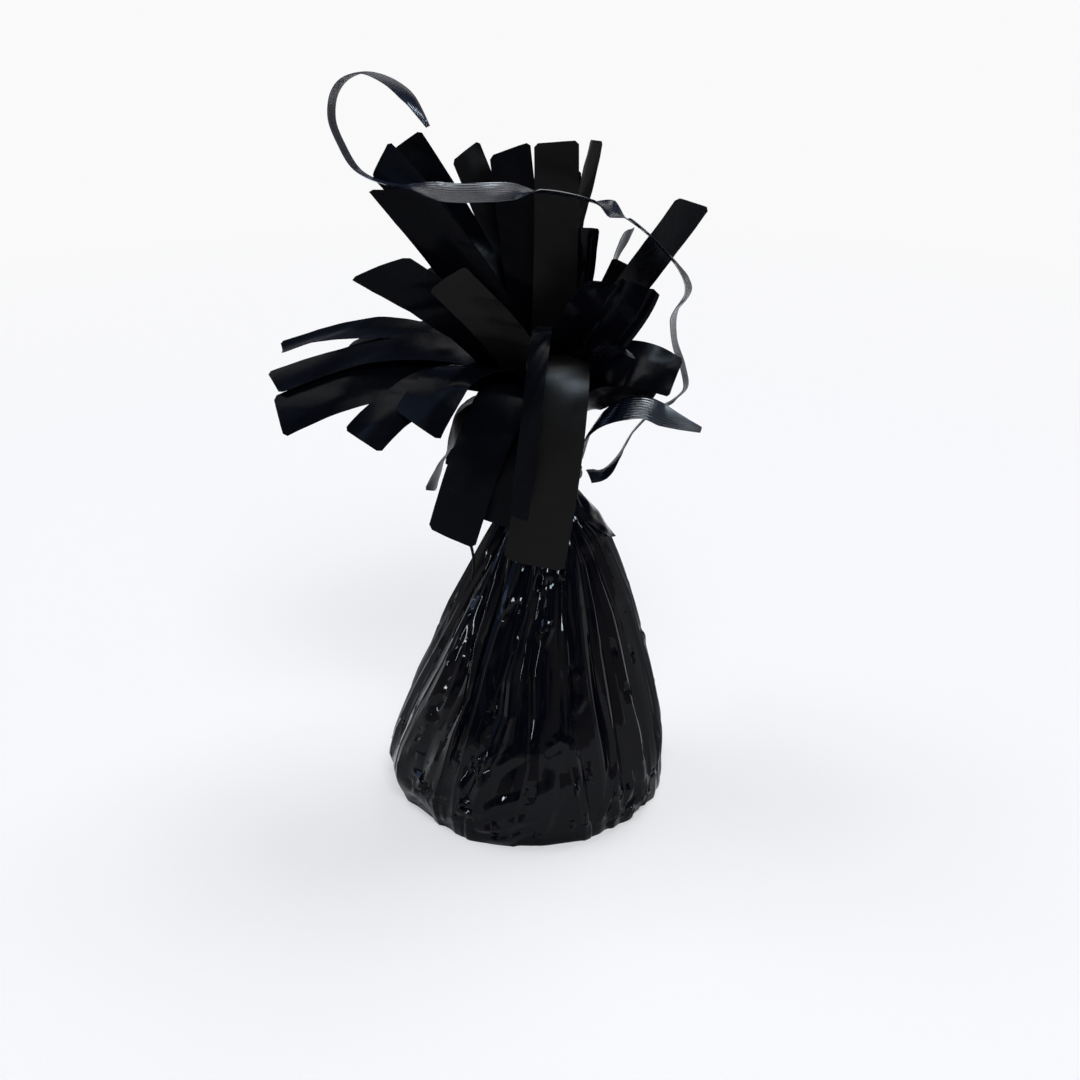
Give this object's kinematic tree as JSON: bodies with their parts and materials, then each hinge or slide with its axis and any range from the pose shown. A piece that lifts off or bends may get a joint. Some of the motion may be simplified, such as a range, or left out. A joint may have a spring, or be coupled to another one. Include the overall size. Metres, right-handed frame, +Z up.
{
  "type": "balloon weight",
  "caption": "Balloon weight: a plugged cup wrapped in pleated black foil, tied at the neck under a fanned tassel of foil strips, with a curling ribbon.",
  "frame": {"origin": "middle of the flat underside, on the floor", "axes": "+Z up along the height; the tassel's hanging front strips face -Y; +X is to the right of someone who looks at that front"},
  "size_m": [0.0915, 0.0754, 0.1615],
  "materials": {
    "foil": "black metallised polyester film, glossy, pleated and creased, with bluish reflections",
    "ribbon": "black curling ribbon, satin, finely ribbed along its length",
    "tie": "black coated wire twist tie",
    "cup": "grey moulded plastic, hidden",
    "plug": "cast mortar, hidden",
    "card": "grey board disc, hidden"
  },
  "bodies": {
    "root": {"foil_wrap": "foil", "base_card": "card", "core_cup": "cup", "core_plug": "plug", "neck_tie": "tie", "tie_tail": "tie", "top_strip": "foil", "top_left_strip": "foil", "top_sliver": "foil", "top_back_strip": "foil", "right_curl_strip": "foil", "high_right_strip": "foil", "right_leaf_strip": "foil", "back_high_strip": "foil", "high_back_left_strip": "foil", "high_left_strip": "foil", "upper_left_strip": "foil", "fan_left_strip": "foil", "front_up_strip": "foil", "right_back_strip": "foil", "back_right_strip": "foil", "back_strip": "foil", "back_left_high_strip": "foil", "back_left_strip": "foil", "left_back_point_strip": "foil", "left_point_strip": "foil", "left_upper_strip": "foil", "fan_left_low_strip": "foil", "front_right_short_strip": "foil", "right_front_strip": "foil", "right_tip_strip": "foil", "low_right_strip": "foil", "low_right_back_strip": "foil", "low_back_right_strip": "foil", "low_back_strip": "foil", "low_back_left_strip": "foil", "low_left_back_strip": "foil", "low_left_strip": "foil", "low_left_block_strip": "foil", "low_front_left_strip": "foil", "hanging_back_right_strip": "foil", "hanging_back_strip": "foil", "hanging_back_left_strip": "foil", "hanging_left_behind_strip": "foil", "hanging_left_strip": "foil", "hanging_middle_strip": "foil", "hanging_narrow_strip": "foil", "hanging_front_strip": "foil", "ribbon_collar": "ribbon", "ribbon_knot": "ribbon", "ribbon_long_end": "ribbon", "ribbon_short_end": "ribbon"}
  },
  "joints": []
}
